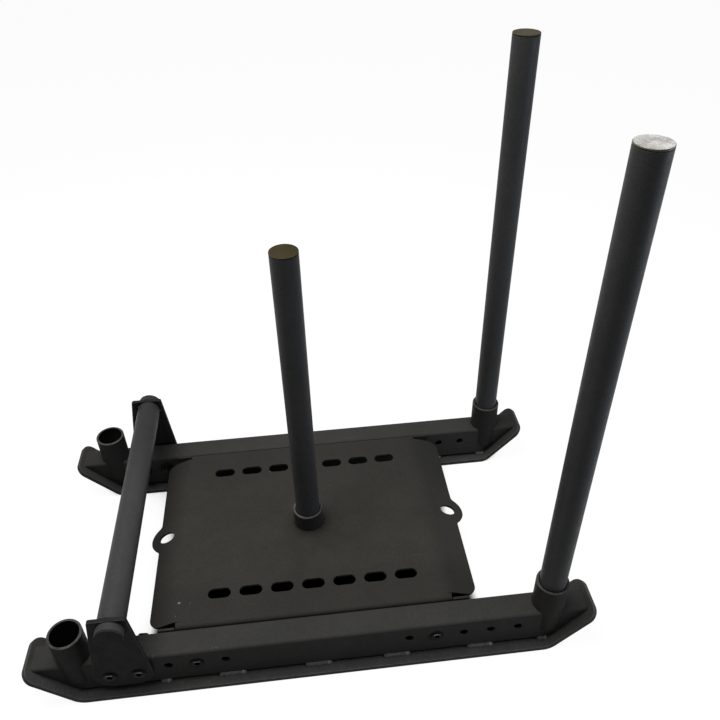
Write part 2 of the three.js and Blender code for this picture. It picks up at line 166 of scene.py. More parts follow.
# %% [markdown]
# ## Light and floor
#
# A dark coat shows its shape by what it mirrors, so one wide soft lamp hangs overhead, a weaker one stands
# at each side, a small one puts the glint on the near upright's cap, and the room itself is dim. The floor
# is white to the eye and in reflections, and keeps part of its real shading, so the shadow under the rails
# stays. It glows less where things stand close to it, a painted contact shadow. Under the deck it is painted
# black up to the lips and the flanges, a painted deep shade.

# %% Studio
bpy.context.scene.view_settings.view_transform = "Standard"
lamps = {  # place, the point it faces, width, watts, colour
    "overhead": ((-0.55, 0.1, 2.4), (-0.1, 0, 0), 1.5, 48, (1, 1, 1)),
    "window_side": ((1.9, -0.65, 0.6), (0.2, 0, 0.45), 1.0, 13, (0.8, 0.86, 1)),
    "fill_side": ((-2.4, -0.6, 1.2), (-0.2, 0, 0.3), 1.4, 0.8, (0.7, 0.76, 1)),
    "glint": ((1.27, 1.29, 1.607), (0.435, -0.25, 0.973), 0.3, 2.5, (1, 1, 1)),
}
for name, (where, aim, width, watts, colour) in lamps.items():
    lamp = bpy.data.lights.new(name, "AREA")
    lamp.shape, lamp.size, lamp.energy, lamp.color = "SQUARE", width, watts, colour
    holder = bpy.data.objects.new(name, lamp)
    holder.location = where
    holder.rotation_euler = (Vector(aim) - Vector(where)).to_track_quat("-Z", "Y").to_euler()
    bpy.context.scene.collection.objects.link(holder)

room = bpy.data.worlds.new("room")
bpy.context.scene.world = room
tree = empty_tree(room)
dim = place(tree, "Background", Color=(0.9, 0.94, 1, 1), Strength=0.14)
white = place(tree, "Background", Color=(1, 1, 1, 1))
place(tree, "OutputWorld", _0=mix_shaders(tree, seen_directly(tree), dim, white).outputs[0])
print("lamps", [round(lamp.energy, 1) for lamp in bpy.data.lights])

# %% Floor
shade_ends_x, shade_ends_y = (0.288, 0.310), (0.217, 0.233)  # from the sled's middle
ear_from, ear_to, ear_shade = 0.03, 0.17, 0.02  # the shade reaches less far in front of an ear
near_reach, open_from, open_to, glow_full = 0.3, 0.12, 0.45, 1.06
paper_white, glow_share = 0.9, 0.9

bpy.ops.mesh.primitive_plane_add(size=14)
floor = bpy.context.object
floor.name = "floor"
paper = bpy.data.materials.new("paper")
tree = empty_tree(paper)
# Painted deep shade: under the deck the floor is made black, its glow and its lit part alike.
apart = place(tree, "SeparateXYZ", Vector=vector(tree, "ABSOLUTE", _0=here(tree))).outputs
along_deck = minus(tree, apart["X"], between(tree, apart["Y"], ear_from, ear_to, ear_shade))
beside_deck = maths(tree, "MAXIMUM", between(tree, along_deck, *shade_ends_x),
                    between(tree, apart["Y"], *shade_ends_y))
# Painted contact shadow: the glow fades where something stands close by.
closeness = place(tree, "AmbientOcclusion", Distance=near_reach).outputs["AO"]
open_sky = between(tree, closeness, open_from, open_to, glow_full)
glow = place(tree, "Emission", Color=(1, 1, 1, 1), Strength=times(tree, beside_deck, open_sky))
lit = place(tree, "BsdfDiffuse", Color=times(tree, beside_deck, paper_white))
for_other_rays = place(tree, "BsdfDiffuse", Color=(0.08, 0.08, 0.08, 1))
for_the_eye = mix_shaders(tree, glow_share, lit, glow)
shown = mix_shaders(tree, seen_directly(tree), for_other_rays, for_the_eye)
place(tree, "OutputMaterial", _0=shown.outputs[0])
floor.data.materials.append(paper)
print("floor", len(tree.nodes), "nodes")

# %% [markdown]
# ## Effects that several finishes share
#
# Powder coat is never one flat colour: it has a fine orange-peel skin, it varies a little from place to
# place, it rubs lighter along edges, and it collects small chips, scratches and dirt in its crevices. On top
# of these, painted highlights ride on the edge wear, and painted shade darkens the crevices and one side of
# some parts. Each effect is a node group, built once and placed in every finish with its own values.

# %% Helpers for node groups
socket_kinds = {"Colour": "Color", "Place": "Vector", "Direction": "Vector"}


def new_group(name, inputs, outputs):
    """An empty group. A socket is a float unless the last word of its name is a socket kind."""
    group = bpy.data.node_groups.new(name, "ShaderNodeTree")
    for labels, way in ((inputs, "INPUT"), (outputs, "OUTPUT")):
        for label in labels.split(", "):
            kind = socket_kinds.get(label.split()[-1], "Float")
            group.interface.new_socket(label, in_out=way, socket_type="NodeSocket" + kind)
    return group, group.nodes.new("NodeGroupInput").outputs, group.nodes.new("NodeGroupOutput").inputs


def close_group(group, made, **results):
    """Wires the results to the group's outputs."""
    for label, result in results.items():
        group.links.new(result, made[label])
    print(group.name, len(group.nodes), "nodes")


def use(tree, group, **inputs):
    """Places a group in a tree."""
    return place(tree, "Group", {"node_tree": group}, **inputs).outputs


# %% Powder skin: orange peel, mottled colour and mottled gloss
gloss_swing = 0.16
skin, given, made = new_group("powder_skin", "Colour, Cloud Colour, Roughness, Peel Scale, Speckle",
                              "Colour, Roughness, Height")
spot = here(skin)
cloudy = between(skin, noise(skin, spot, 5.5, 4, 0.6), 0.35, 0.68)
patchy = between(skin, noise(skin, spot, 48, 5, 0.65), 0.3, 0.7)
blend = plus(skin, times(skin, cloudy, 0.6), times(skin, patchy, 0.4))
mottled = tint(skin, blend, given["Colour"], given["Cloud Colour"])
grain = noise(skin, spot, 2400, 1)
fleck = times(skin, between(skin, grain, 0.60, 0.72), 0.28)
flecked = tint(skin, fleck, mottled, given["Cloud Colour"])
dust = times(skin, minus(skin, noise(skin, spot, 330, 3, 0.7), 0.5), given["Speckle"])
speckled = vector(skin, "SCALE", _0=flecked, Scale=plus(skin, times(skin, dust, 3), 1))
swing = times(skin, minus(skin, patchy, 0.5), gloss_swing)
peel = noise(skin, spot, given["Peel Scale"], 2)
close_group(skin, made, Colour=speckled, Roughness=plus(skin, given["Roughness"], swing, clamp=True),
            Height=plus(skin, peel, times(skin, grain, 0.25)))

# %% Edge wear and painted highlights: the coat rubbed lighter where the piece was marked as an edge, and painted lighter where a mark was raised for a highlight
wear_and_highlight, given, made = new_group("edge_wear_and_highlight", "Colour, Rubbed Colour, Amount, Roughness, Rubbed Roughness",
                              "Colour, Roughness")
edge = place(wear_and_highlight, "Attribute", {"attribute_name": "edge"}).outputs["Fac"]
uneven = plus(wear_and_highlight, between(wear_and_highlight, noise(wear_and_highlight, here(wear_and_highlight), 70, 6, 0.7), 0.32, 0.72), 0.35)
mask = times(wear_and_highlight, times(wear_and_highlight, edge, uneven), given["Amount"], clamp=True)
smoother = place(wear_and_highlight, "Mix", {"data_type": "FLOAT"}, _0=mask, _2=given["Roughness"],
                 _3=given["Rubbed Roughness"])
close_group(wear_and_highlight, made, Colour=tint(wear_and_highlight, mask, given["Colour"], given["Rubbed Colour"]),
            Roughness=smoother.outputs[0])

# %% Knocks: rare chips and hairline scratches
chip_rarity = 0.93
knocks, given, made = new_group("knocks", "Colour, Chip Colour, Chips, Scratches", "Colour")
spot = here(knocks)
wobble = vector(knocks, "SCALE", _0=noise(knocks, spot, 300, 3, gives="Color"), Scale=0.004)
cells = place(knocks, "TexVoronoi", Vector=vector(knocks, "ADD", _0=spot, _1=wobble), Scale=26).outputs
lot = place(knocks, "SeparateColor", Color=cells["Color"]).outputs[0]
small = minus(knocks, 1, between(knocks, cells["Distance"], 0.03, 0.07))
chip = times(knocks, small, maths(knocks, "GREATER_THAN", lot, chip_rarity))
chip = times(knocks, chip, given["Chips"])
drawn_out = place(knocks, "Mapping", Vector=spot, Rotation=(0.5, 0.3, 0.6), Scale=(9, 260, 260)).outputs[0]
line = between(knocks, noise(knocks, drawn_out, 1, 2), 0.705, 0.74)
line = times(knocks, line, between(knocks, noise(knocks, spot, 7, 2), 0.5, 0.62))
line = times(knocks, line, given["Scratches"])
either = maths(knocks, "MAXIMUM", chip, line, clamp=True)
close_group(knocks, made, Colour=tint(knocks, either, given["Colour"], given["Chip Colour"]))

# %% Crevices: dirt and painted deep shade where two surfaces nearly meet
dirt_and_shade_colour = (0.002, 0.002, 0.002, 1)
crevice, given, made = new_group("crevice", "Colour, Reach, Depth, Open From, Open To", "Colour")
near_by = place(crevice, "AmbientOcclusion", {"samples": 12}, Distance=given["Reach"]).outputs["AO"]
opened = between(crevice, near_by, given["Open From"], given["Open To"])
# Painted shade and dirt: where nearby surfaces close in, the colour is pulled towards near black.
hidden = times(crevice, minus(crevice, 1, opened), given["Depth"])
close_group(crevice, made, Colour=tint(crevice, hidden, given["Colour"], dirt_and_shade_colour))

# %% Painted shade band: a coat painted darker along one direction, in patches
painted_shade_colour = (0.01, 0.01, 0.01, 1)
shade_band, given, made = new_group("painted_shade_band", "Colour, Direction, Start, Full, Amount", "Colour")
spot = here(shade_band)
along = vector(shade_band, "DOT_PRODUCT", _0=spot, _1=given["Direction"])
grown = between(shade_band, along, given["Start"], given["Full"])
patchy_shade = plus(shade_band, times(shade_band, noise(shade_band, spot, 11, 4, 0.6), 0.9), 0.55)
shaded = times(shade_band, times(shade_band, grown, patchy_shade), given["Amount"], clamp=True)
close_group(shade_band, made, Colour=tint(shade_band, shaded, given["Colour"], painted_shade_colour))

# %% Paint chip: one small chip at a chosen place
paint_chip, given, made = new_group("paint_chip", "Colour, Chip Colour, Place, Radius", "Colour")
spot = here(paint_chip)
ragged = noise(paint_chip, spot, 520, 3, 0.7, gives="Color")
centred = vector(paint_chip, "SUBTRACT", _0=ragged, _1=(0.5, 0.5, 0.5))
bent = vector(paint_chip, "ADD", _0=spot, _1=vector(paint_chip, "SCALE", _0=centred, Scale=0.008))
away = vector(paint_chip, "DISTANCE", _0=bent, _1=given["Place"])
within = maths(paint_chip, "DIVIDE", away, given["Radius"])
chipped = minus(paint_chip, 1, between(paint_chip, within, 0.7, 1.1))
close_group(paint_chip, made, Colour=tint(paint_chip, chipped, given["Colour"], given["Chip Colour"]))

# %% [markdown]
# ## Finishes
#
# All the steel has the same charcoal powder coat in several tones: the sockets are nearly black, the rails
# and skids a little lighter, the deck is a warmer grey, the poles are smoother, and their end caps browner.
# The brackets and the low bar's caps take a copy of the rail coat painted nearly black, a painted shade, and
# the near upright's cap a lighter, glossier copy of the cap coat, a painted highlight. Every coat runs skin,
# wear, knocks, chosen chips, painted shade bands and crevices into one shader.

# %% Build a coat
chip_tone, edge_polish, peel_height = 150, 0.12, 0.0003


def grey(value, warmth=0.0):
    """A colour from its 0 to 255 screen value, warm above zero and cool below."""
    def linear(v):
        v /= 255
        return v / 12.92 if v <= 0.04045 else ((v + 0.055) / 1.055) ** 2.4
    return (linear(value + 0.5 * warmth), linear(value), linear(value - 1.3 * warmth), 1)


def new_finish(name):
    finish = bpy.data.materials.new(name)
    finish.use_nodes = True
    return finish, finish.node_tree


def coat(name, colour, cloud, rubbed, roughness, peel=620, worn=0.5, chips=0.3, scratches=0.06,
         peel_depth=0.35, specular=0.08, speckle=0.25, crevices=(0.016, 0.3, 0.7, 0.95), marks=(), painted_shade=()):
    """A powder coat. Crevices are reach, open from, open to and depth."""
    finish, tree = new_finish(name)
    base = use(tree, skin, Colour=colour, Cloud_Colour=cloud, Roughness=roughness, Peel_Scale=peel,
               Speckle=speckle)
    rubs_and_highlights = use(tree, wear_and_highlight, Colour=base["Colour"], Rubbed_Colour=rubbed, Amount=worn,
               Roughness=base["Roughness"], Rubbed_Roughness=roughness - edge_polish)
    shown = use(tree, knocks, Colour=rubs_and_highlights["Colour"], Chip_Colour=grey(chip_tone), Chips=chips,
                Scratches=scratches)["Colour"]
    for where, radius, tone in marks:
        shown = use(tree, paint_chip, Colour=shown, Chip_Colour=grey(tone), Radius=radius,
                    Place=where)["Colour"]
    # Painted shade: each band darkens the coat along one direction.
    for way, start, full, amount in painted_shade:
        shown = use(tree, shade_band, Colour=shown, Direction=way, Start=start, Full=full, Amount=amount)["Colour"]
    # Crevices add dirt and painted shade.
    reach, open_from, open_to, depth = crevices
    shown = use(tree, crevice, Colour=shown, Reach=reach, Open_From=open_from, Open_To=open_to,
                Depth=depth)["Colour"]
    bump = place(tree, "Bump", Height=base["Height"], Strength=peel_depth, Distance=peel_height)
    feed(tree, tree.nodes["Principled BSDF"], Base_Color=shown, Roughness=rubs_and_highlights["Roughness"],
         Specular_IOR_Level=specular, Normal=bump.outputs[0])
    return finish


# %% The coats of the sled
# Marks are place, radius and tone; painted shade is direction, start, full and amount.
deck_marks = [((-0.255, -0.1705, 0.093), 0.0024, 150), ((-0.2747, -0.0968, 0.09), 0.0016, 110),
              ((-0.2341, -0.1731, 0.093), 0.0012, 110), ((-0.2598, -0.1977, 0.093), 0.0014, 120)]
rail_marks = [((-0.181, -0.2690, 0.09), 0.0024, 72), ((-0.189, -0.2700, 0.09), 0.0018, 72),
              ((0.298, -0.2685, 0.09), 0.0020, 72), ((-0.2926, -0.2720, 0.089), 0.0024, 76)]
# Painted shade bands: darker towards the far left corner, and on the deck towards its far side, its right
# lip and its near side.
far_corner_shade = [((-0.6, 0.8, 0), 0.27, 0.45, 0.3)]
far_pole_shade = [((-0.6, 0.8, 0), 0.2, 0.36, 0.4)]
deck_painted_shade = [((0, 1, 0), 0.02, 0.2, 0.3), ((1, 0, 0), 0.23, 0.27, 0.35), ((0, -1, 0), 0.1, 0.18, 0.24)]
rail_coat = coat("rail_coat", grey(56, 1.5), grey(63, 2), grey(98, 2), 0.55, worn=0.45, specular=0.03,
                 marks=rail_marks, painted_shade=far_corner_shade)
# A copy of the rail coat painted darker: a painted shade that holds the bracket faces as dark as the rail
# sides.
shaded_bracket_coat = coat("shaded_bracket_coat", grey(38, 1), grey(44, 1), grey(84, 1), 0.55, worn=0.6, specular=0.03,
                    painted_shade=far_corner_shade)
skid_coat = coat("skid_coat", grey(61, 1), grey(71, 2), grey(110, 1), 0.6, worn=0.6, scratches=0.1,
                 speckle=0.4, specular=0.05, painted_shade=far_corner_shade)
deck_coat = coat("deck_coat", grey(49, 2.5), grey(60, 3.5), grey(96, 3), 0.62, worn=0.4, chips=0.25,
                 crevices=(0.04, 0.45, 0.95, 0.55), specular=0.06, marks=deck_marks, painted_shade=deck_painted_shade)
pole_coat = coat("pole_coat", grey(60, 0), grey(68, 1), grey(96), 0.45, worn=0.3, peel=420,
                 specular=0.055, painted_shade=far_pole_shade)
cap_coat = coat("cap_coat", grey(46, 12), grey(58, 14), grey(92, 8), 0.36, worn=0.5, peel=520,
                peel_depth=0.12, specular=0.01)
# A lighter, glossier copy of the cap coat for the near upright's cap only: a painted highlight.
cap_coat_painted_highlight = coat("cap_coat_painted_highlight", grey(56, 10), grey(68, 12), grey(110, 8), 0.26, worn=0.5,
                         peel=520, peel_depth=0.12, specular=0.14)
socket_coat = coat("socket_coat", grey(42, 1), grey(50, 2), grey(88, 4), 0.52, worn=0.8, chips=0.4,
                   specular=0.03)
weld_coat = coat("weld_coat", grey(68, 1), grey(82, 1), grey(132, -2), 0.45, worn=0.8, chips=0.2, peel=900,
                 peel_depth=0.6, speckle=0.6, crevices=(0.004, 0.1, 0.4, 0.8))
print([m.name for m in bpy.data.materials if m.name.endswith("_coat")])

# %% Black-oxide steel for the fasteners
fastener_steel, tree = new_finish("fastener_steel")
# The rubbed colour here is also the painted highlight on the bolt heads.
rubs_and_highlights = use(tree, wear_and_highlight, Colour=grey(12), Rubbed_Colour=grey(175), Amount=0.4, Roughness=0.38,
           Rubbed_Roughness=0.3)
smear = noise(tree, here(tree), 190, 4)
tone = tint(tree, between(tree, smear, 0.45, 0.8), rubs_and_highlights["Colour"], grey(28))
bump = place(tree, "Bump", Height=smear, Strength=0.25, Distance=0.0002)
feed(tree, tree.nodes["Principled BSDF"], Base_Color=tone, Roughness=rubs_and_highlights["Roughness"], Metallic=0.1,
     Specular_IOR_Level=0.03, Normal=bump.outputs[0])
print(fastener_steel.name, len(tree.nodes), "nodes")

# %% [markdown]
# ## Working by selection
#
# In the viewport the mouse picks what an operator acts on. Here a test on the place or the
# direction of each vertex, edge or face does it. These few helpers are all that the lesson
# needs: start from a primitive, edit, pick, apply a modifier, carve, copy.

# %% Selecting and editing


def take(piece):
    bpy.ops.object.select_all(action="DESELECT")
    piece.select_set(True)
    bpy.context.view_layer.objects.active = piece


def settle(piece, name=None):
    """Moves the piece's place, turn and size into its mesh."""
    take(piece)
    bpy.ops.object.transform_apply(location=True, rotation=True, scale=True)
    piece.name = name or piece.name
    return piece


def edit(piece):
    take(piece)
    bpy.ops.object.mode_set(mode="EDIT")


def leave():
    bpy.ops.object.mode_set(mode="OBJECT")


def discard(piece):
    bpy.data.objects.remove(piece)


def pick(piece, kind, test):
    """Selects the vertices, edges or faces for which test(middle, direction) holds."""
    bpy.ops.mesh.select_mode(type=kind)
    bpy.ops.mesh.select_all(action="DESELECT")
    mesh = bmesh.from_edit_mesh(piece.data)
    mesh.normal_update()
    if kind == "VERT":
        found = [v for v in mesh.verts if test(v.co, v.normal)]
    elif kind == "EDGE":
        found = [e for e in mesh.edges
                 if test((e.verts[0].co + e.verts[1].co) / 2, (e.verts[1].co - e.verts[0].co).normalized())]
    else:
        found = [f for f in mesh.faces if test(f.calc_center_median(), f.normal)]
    for part in found:
        part.select_set(True)
    mesh.select_flush_mode()
    bmesh.update_edit_mesh(piece.data)
    return len(found)


def near(a, b, by=0.05 * mm):
    return abs(a - b) < by


def extrude(*move):
    bpy.ops.mesh.extrude_region_move(TRANSFORM_OT_translate={"value": move})


def shrink(x, y, centre=(0, 0, 0)):
    bpy.ops.transform.resize(value=(x, y, 1), center_override=centre)


# %% Starting shapes


def add_block(name, low, high):
    bpy.ops.mesh.primitive_cube_add(size=1, location=[(a + b) / 2 for a, b in zip(low, high)])
    bpy.context.object.scale = [b - a for a, b in zip(low, high)]
    return settle(bpy.context.object, name)


def add_sheet(name, middle, length, width):
    bpy.ops.mesh.primitive_plane_add(size=1, location=middle)
    bpy.context.object.scale = (length, width, 1)
    return settle(bpy.context.object, name)


def add_rod(name, radius, low, high, turns=96):
    """A round bar that stands on Z."""
    bpy.ops.mesh.primitive_cylinder_add(vertices=turns, radius=radius, depth=high - low,
                                        location=(0, 0, (low + high) / 2))
    return settle(bpy.context.object, name)


def add_tube(name, outer, inner, low, high):
    """A round bar whose two ends are inset, opened and bridged through the middle."""
    piece = add_rod(name, outer, low, high)
    edit(piece)
    pick(piece, "FACE", lambda mid, way: abs(way.z) > 0.9)
    bpy.ops.mesh.inset(thickness=outer - inner, use_individual=True)
    bpy.ops.mesh.delete(type="FACE")
    pick(piece, "EDGE", lambda mid, way: mid.xy.length < (outer + inner) / 2 and abs(way.z) < 0.1)
    bpy.ops.mesh.bridge_edge_loops()
    leave()
    return piece


# %% Modifiers, carving, copies


def modify(piece, kind, **settings):
    take(piece)
    modifier = piece.modifiers.new(kind.lower(), kind)
    for key, value in settings.items():
        setattr(modifier, key, value)
    bpy.ops.object.modifier_apply(modifier=modifier.name)


def thicken(sheet, thickness):
    modify(sheet, "SOLIDIFY", thickness=thickness, offset=-1, use_even_offset=True)


def carve(piece, cutter, operation="DIFFERENCE"):
    modify(piece, "BOOLEAN", operation=operation, object=cutter, solver="EXACT")
    discard(cutter)


def copy(piece, name, move=(0, 0, 0), turn=(0, 0, 0), mirror=None):
    """A copy with its own mesh, turned about the origin and then moved."""
    take(piece)
    bpy.ops.object.duplicate(linked=False)
    twin = bpy.context.object
    twin.location = move
    twin.rotation_euler = turn
    if mirror is not None:
        twin.scale = [-1 if axis == mirror else 1 for axis in "xyz"]
    settle(twin, name)
    if mirror is not None:
        edit(twin)
        bpy.ops.mesh.select_all(action="SELECT")
        bpy.ops.mesh.flip_normals()
        leave()
    return twin


def spread(cutter, places):
    """Copies of a cutter at several places, which take the place of the first one."""
    cutters = [copy(cutter, "cutter", move=where) for where in places]
    discard(cutter)
    return cutters


def merge(name, pieces):
    """Joins loose shells into one object."""
    bpy.ops.object.select_all(action="DESELECT")
    for piece in pieces:
        piece.select_set(True)
    bpy.context.view_layer.objects.active = pieces[0]
    if len(pieces) > 1:
        bpy.ops.object.join()
    pieces[0].name = name
    return pieces[0]


def face_up(sheet):
    """Turns all faces of a sheet the same way, the largest one upwards."""
    edit(sheet)
    bpy.ops.mesh.select_all(action="SELECT")
    bpy.ops.mesh.remove_doubles(threshold=0.01 * mm)
    bpy.ops.mesh.normals_make_consistent(inside=False)
    mesh = bmesh.from_edit_mesh(sheet.data)
    if max(mesh.faces, key=lambda f: f.calc_area()).normal.z < 0:
        bpy.ops.mesh.flip_normals()
    leave()


# %% [markdown]
# ## Rounded edges
#
# No steel part has a knife edge: sawn and cut edges are broken before coating, and the soft edge is what
# catches the light. A Bevel modifier rounds every sharp edge after the holes are cut. It also tells where
# wear belongs, because vertices that touch only bevel faces lie right on the edge; they get an attribute
# that the group for wear and painted highlights reads. Weighted normals keep the large faces flat under
# smooth shading.

# %% Round, mark, smooth


def mark(piece, values):
    layer = piece.data.attributes.get("edge") or piece.data.attributes.new("edge", "FLOAT", "POINT")
    layer.data.foreach_set("value", values)


def round_edges(piece, width, sharper_than=38, segments=2):
    """Bevels the sharp edges in a second material slot, by which the edge vertices are found."""
    piece.data.materials.clear()
    for _ in range(2):
        piece.data.materials.append(None)
    modify(piece, "BEVEL", width=width, segments=segments, limit_method="ANGLE",
           angle_limit=math.radians(sharper_than), material=1)
    on_edge = [1.0] * len(piece.data.vertices)
    for face in piece.data.polygons:
        if face.material_index != 1:
            for corner in face.vertices:
                on_edge[corner] = 0.0
        face.material_index = 0
    mark(piece, on_edge)
    piece.data.materials.clear()
    take(piece)
    bpy.ops.object.shade_smooth_by_angle(angle=math.radians(50))
    modify(piece, "WEIGHTED_NORMAL", keep_sharp=True)
    return piece


def raise_wear_and_highlight(piece, test, amount):
    """Raises the edge mark of the vertices for which test(place) holds, for more wear and for painted
    highlights.
    """
    layer = piece.data.attributes["edge"].data
    for vertex, value in zip(piece.data.vertices, layer):
        if test(vertex.co):
            value.value = max(value.value, amount)


def hand_over(piece, finish, slot, body, *stands_for):
    """Gives the piece its finish and ties it to the frame."""
    piece.data.materials.clear()
    piece.data.materials.append(finish)
    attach(piece, body)
    if stands_for:
        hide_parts(*stands_for)
    print(f"{piece.name}: {len(piece.data.polygons)} faces")


# %% [markdown]
# ## Skid plates
#
# Under each rail lies a flat bar, wider than the rail, with both ends bent up like a ski. A
# curve with a bevel profile could make it, but bending it is closer to the workshop: the flat
# is a plane, each end edge is spun through the bend and then extruded up the slope, and the
# sheet gets its thickness. Then both tips are cut square to the sheet at the height of the
# rail's top, and their corners are rounded.

# %% Sizes of the skid
play = 0.3 * mm  # between pieces that touch on the real sled
rail_line, rail_top = 250 * mm, 90 * mm
skid_thickness, skid_width = 10 * mm, 90 * mm
bend_angle, bend_radius = math.radians(47.5), 32 * mm
slope_foot, slope_length = 436.5 * mm, 116 * mm
bend_start = slope_foot - bend_radius * math.tan(bend_angle / 2)
nose_reach = slope_foot + rail_top / math.tan(bend_angle)
nose_corner = 22 * mm
print("nose at", nose_reach)


def bent_strip(name, height, width, reach):
    """A sheet at a height over the floor that follows the skid, both ends bent up."""
    strip = add_sheet(name, (0, 0, height), 2 * bend_start, width)
    edit(strip)
    for end in ends.values():
        pick(strip, "EDGE", lambda mid, way: near(mid.x, end * bend_start) and abs(way.y) > 0.9)
        bpy.ops.mesh.spin(steps=10, angle=bend_angle, center=(end * bend_start, 0, bend_radius),
                          axis=(0, end, 0))
        extrude(end * reach * math.cos(bend_angle), 0, reach * math.sin(bend_angle))
    leave()
    face_up(strip)
    return strip


def put_on_both_rails(master, name, finish, slot, node):
    """Copies a piece made on the middle line to the line of each rail."""
    for side_name, side in sides.items():
        twin = copy(master, f"{side_name}_{name}", move=(0, side * rail_line, 0))
        hand_over(twin, finish, slot, "sled_frame", f"{side_name}_{node}")
    discard(master)


# %% Bend, thicken and trim one skid
skid = bent_strip("skid", skid_thickness, skid_width, slope_length)
thicken(skid, skid_thickness)
edit(skid)
for end in ends.values():
    bpy.ops.mesh.select_all(action="SELECT")
    bpy.ops.mesh.bisect(plane_co=(end * nose_reach, 0, rail_top), use_fill=True, clear_outer=True,
                        plane_no=(end * math.cos(bend_angle), 0, math.sin(bend_angle)))
found = pick(skid, "EDGE", lambda mid, way: mid.z > rail_top + 1 * mm and abs(way.y) < 0.1)
print("edges over the thickness of the tips:", found)
bpy.ops.mesh.bevel(offset=nose_corner, segments=10, affect="EDGES")
leave()
round_edges(skid, 1.4 * mm)
put_on_both_rails(skid, "skid", skid_coat, "skid_coat", "skid_plate")

# %% [markdown]
# ## Rails
#
# The rails are rectangular tube with rounded corners, open inside, sawn to the slope of the
# skids. A block with bevelled long edges becomes a tube when its ends are deleted and the
# shell is thickened inwards. A copy of the bent strip, grown thick, is the saw for both ends.

# %% One rail
rail_end, rail_half, rail_corner, rail_wall = 506 * mm, 25 * mm, 6 * mm, 4 * mm
hole_radius, hole_height = 8.2 * mm, 58 * mm
stations = [(168.2 + 51.2 * i) * mm for i in range(5)]
socket_line = 435 * mm
socket_outer, socket_inner = 30.15 * mm, 25.65 * mm
socket_top, socket_foot = 152 * mm, 40 * mm
saw_width, saw_reach, saw_depth = 80 * mm, 160 * mm, 100 * mm
under_deck, over_deck = 60 * mm, 120 * mm  # how far the drills go


def add_saw(clearance):
    """Everything under and beyond the skid's upper face, raised by a clearance."""
    saw = bent_strip("saw", skid_thickness + clearance, saw_width, saw_reach)
    thicken(saw, saw_depth)
    return saw


def add_bit(radius, turns=96):
    """A drill that lies across the sled."""
    bit = add_rod("bit", radius, -60 * mm, 60 * mm, turns)
    bit.rotation_euler.x = math.pi / 2
    return settle(bit)


rail = add_block("rail", (-rail_end, -rail_half, skid_thickness + play), (rail_end, rail_half, rail_top))
edit(rail)
pick(rail, "EDGE", lambda mid, way: abs(way.x) > 0.9)
bpy.ops.mesh.bevel(offset=rail_corner, segments=6, affect="EDGES")
pick(rail, "FACE", lambda mid, way: abs(way.x) > 0.9)
bpy.ops.mesh.delete(type="FACE")
leave()
thicken(rail, rail_wall)
carve(rail, add_saw(play))
drill = add_rod("drill", socket_outer + play, socket_foot - play, over_deck)
cutters = spread(drill, [(end * socket_line, 0, 0) for end in ends.values()])
cutters += spread(add_bit(hole_radius, 40), [(end * x, 0, hole_height)
                                             for end in ends.values() for x in stations])
carve(rail, merge("cutters", cutters))
round_edges(rail, 0.8 * mm, sharper_than=42)
put_on_both_rails(rail, "rail", rail_coat, "rail_coat", "rail_tube")

# %% [markdown]
# ## Sockets
#
# Four sleeves are let into the rails and one into the deck. Each starts as a round bar; its
# ends are inset and opened, and the two openings are bridged into a bore. The same saw that
# trimmed the rails trims the sleeves where the skid slopes up into them.

# %% Rail sockets
saw_over_skid, rim_band = 5.3 * mm, 0.6 * mm


def add_sleeve(name, foot, top, rubbed, saw=None):
    """A sleeve whose flat rim, where poles are dropped in, is rubbed and painted lighter as a highlight."""
    sleeve = add_tube(name, socket_outer, socket_inner, foot, top)
    if saw:
        carve(sleeve, saw)
    round_edges(sleeve, 1.1 * mm, segments=3)
    # The rim is painted lighter: rubbed by the poles, and a painted highlight.
    raise_wear_and_highlight(sleeve, lambda v: v.z > top - rim_band, rubbed)
    return sleeve


saw = add_saw(saw_over_skid)
saw.location.x = -socket_line
sleeve = add_sleeve("sleeve", socket_foot, socket_top, 0.9, settle(saw))
for end_name, end in ends.items():
    for side_name, side in sides.items():
        twin = copy(sleeve, f"{end_name}_{side_name}_sleeve_coated", turn=(0, 0, 0 if end > 0 else math.pi),
                    move=(end * socket_line, side * rail_line, 0))
        hand_over(twin, socket_coat, "rail_coat", "sled_frame", f"{end_name}_{side_name}_socket")
discard(sleeve)

# %% Post socket
post_socket_foot, post_socket_top = 50 * mm, 131 * mm
post_sleeve = add_sleeve("post_sleeve", post_socket_foot, post_socket_top, 1.6)
hand_over(post_sleeve, socket_coat, "rail_coat", "sled_frame", "post_socket")

# %% [markdown]
# ## Poles
#
# The two uprights, the weight post and the low bar are cut from one tube. A turned cap closes
# each end that shows: its plug sits in the bore, and its disc meets the tube in a fine dark
# seam. The cap starts as the disc; its lower face is inset to the bore and extruded down into
# the plug.

# %% Tube and cap
pole_radius, pole_bore = 24.15 * mm, 20.95 * mm
cap_disc, cap_plug = 3 * mm, 8.3 * mm
tube_below_top = cap_disc + play


def add_cap(name, top):
    cap = add_rod(name, pole_radius, top - cap_disc, top)
    edit(cap)
    pick(cap, "FACE", lambda mid, way: way.z < -0.9)
    bpy.ops.mesh.inset(thickness=pole_radius - pole_bore + play)
    extrude(0, 0, -cap_plug)
    leave()
    return round_edges(cap, 0.9 * mm, segments=3)


def add_pole(name, foot, top):
    """An upright tube, and its cap whose upper face lies at the top."""
    tube = add_tube(name, pole_radius, pole_bore, foot, top - tube_below_top)
    return round_edges(tube, 0.6 * mm), add_cap(name + "_end_cap", top)


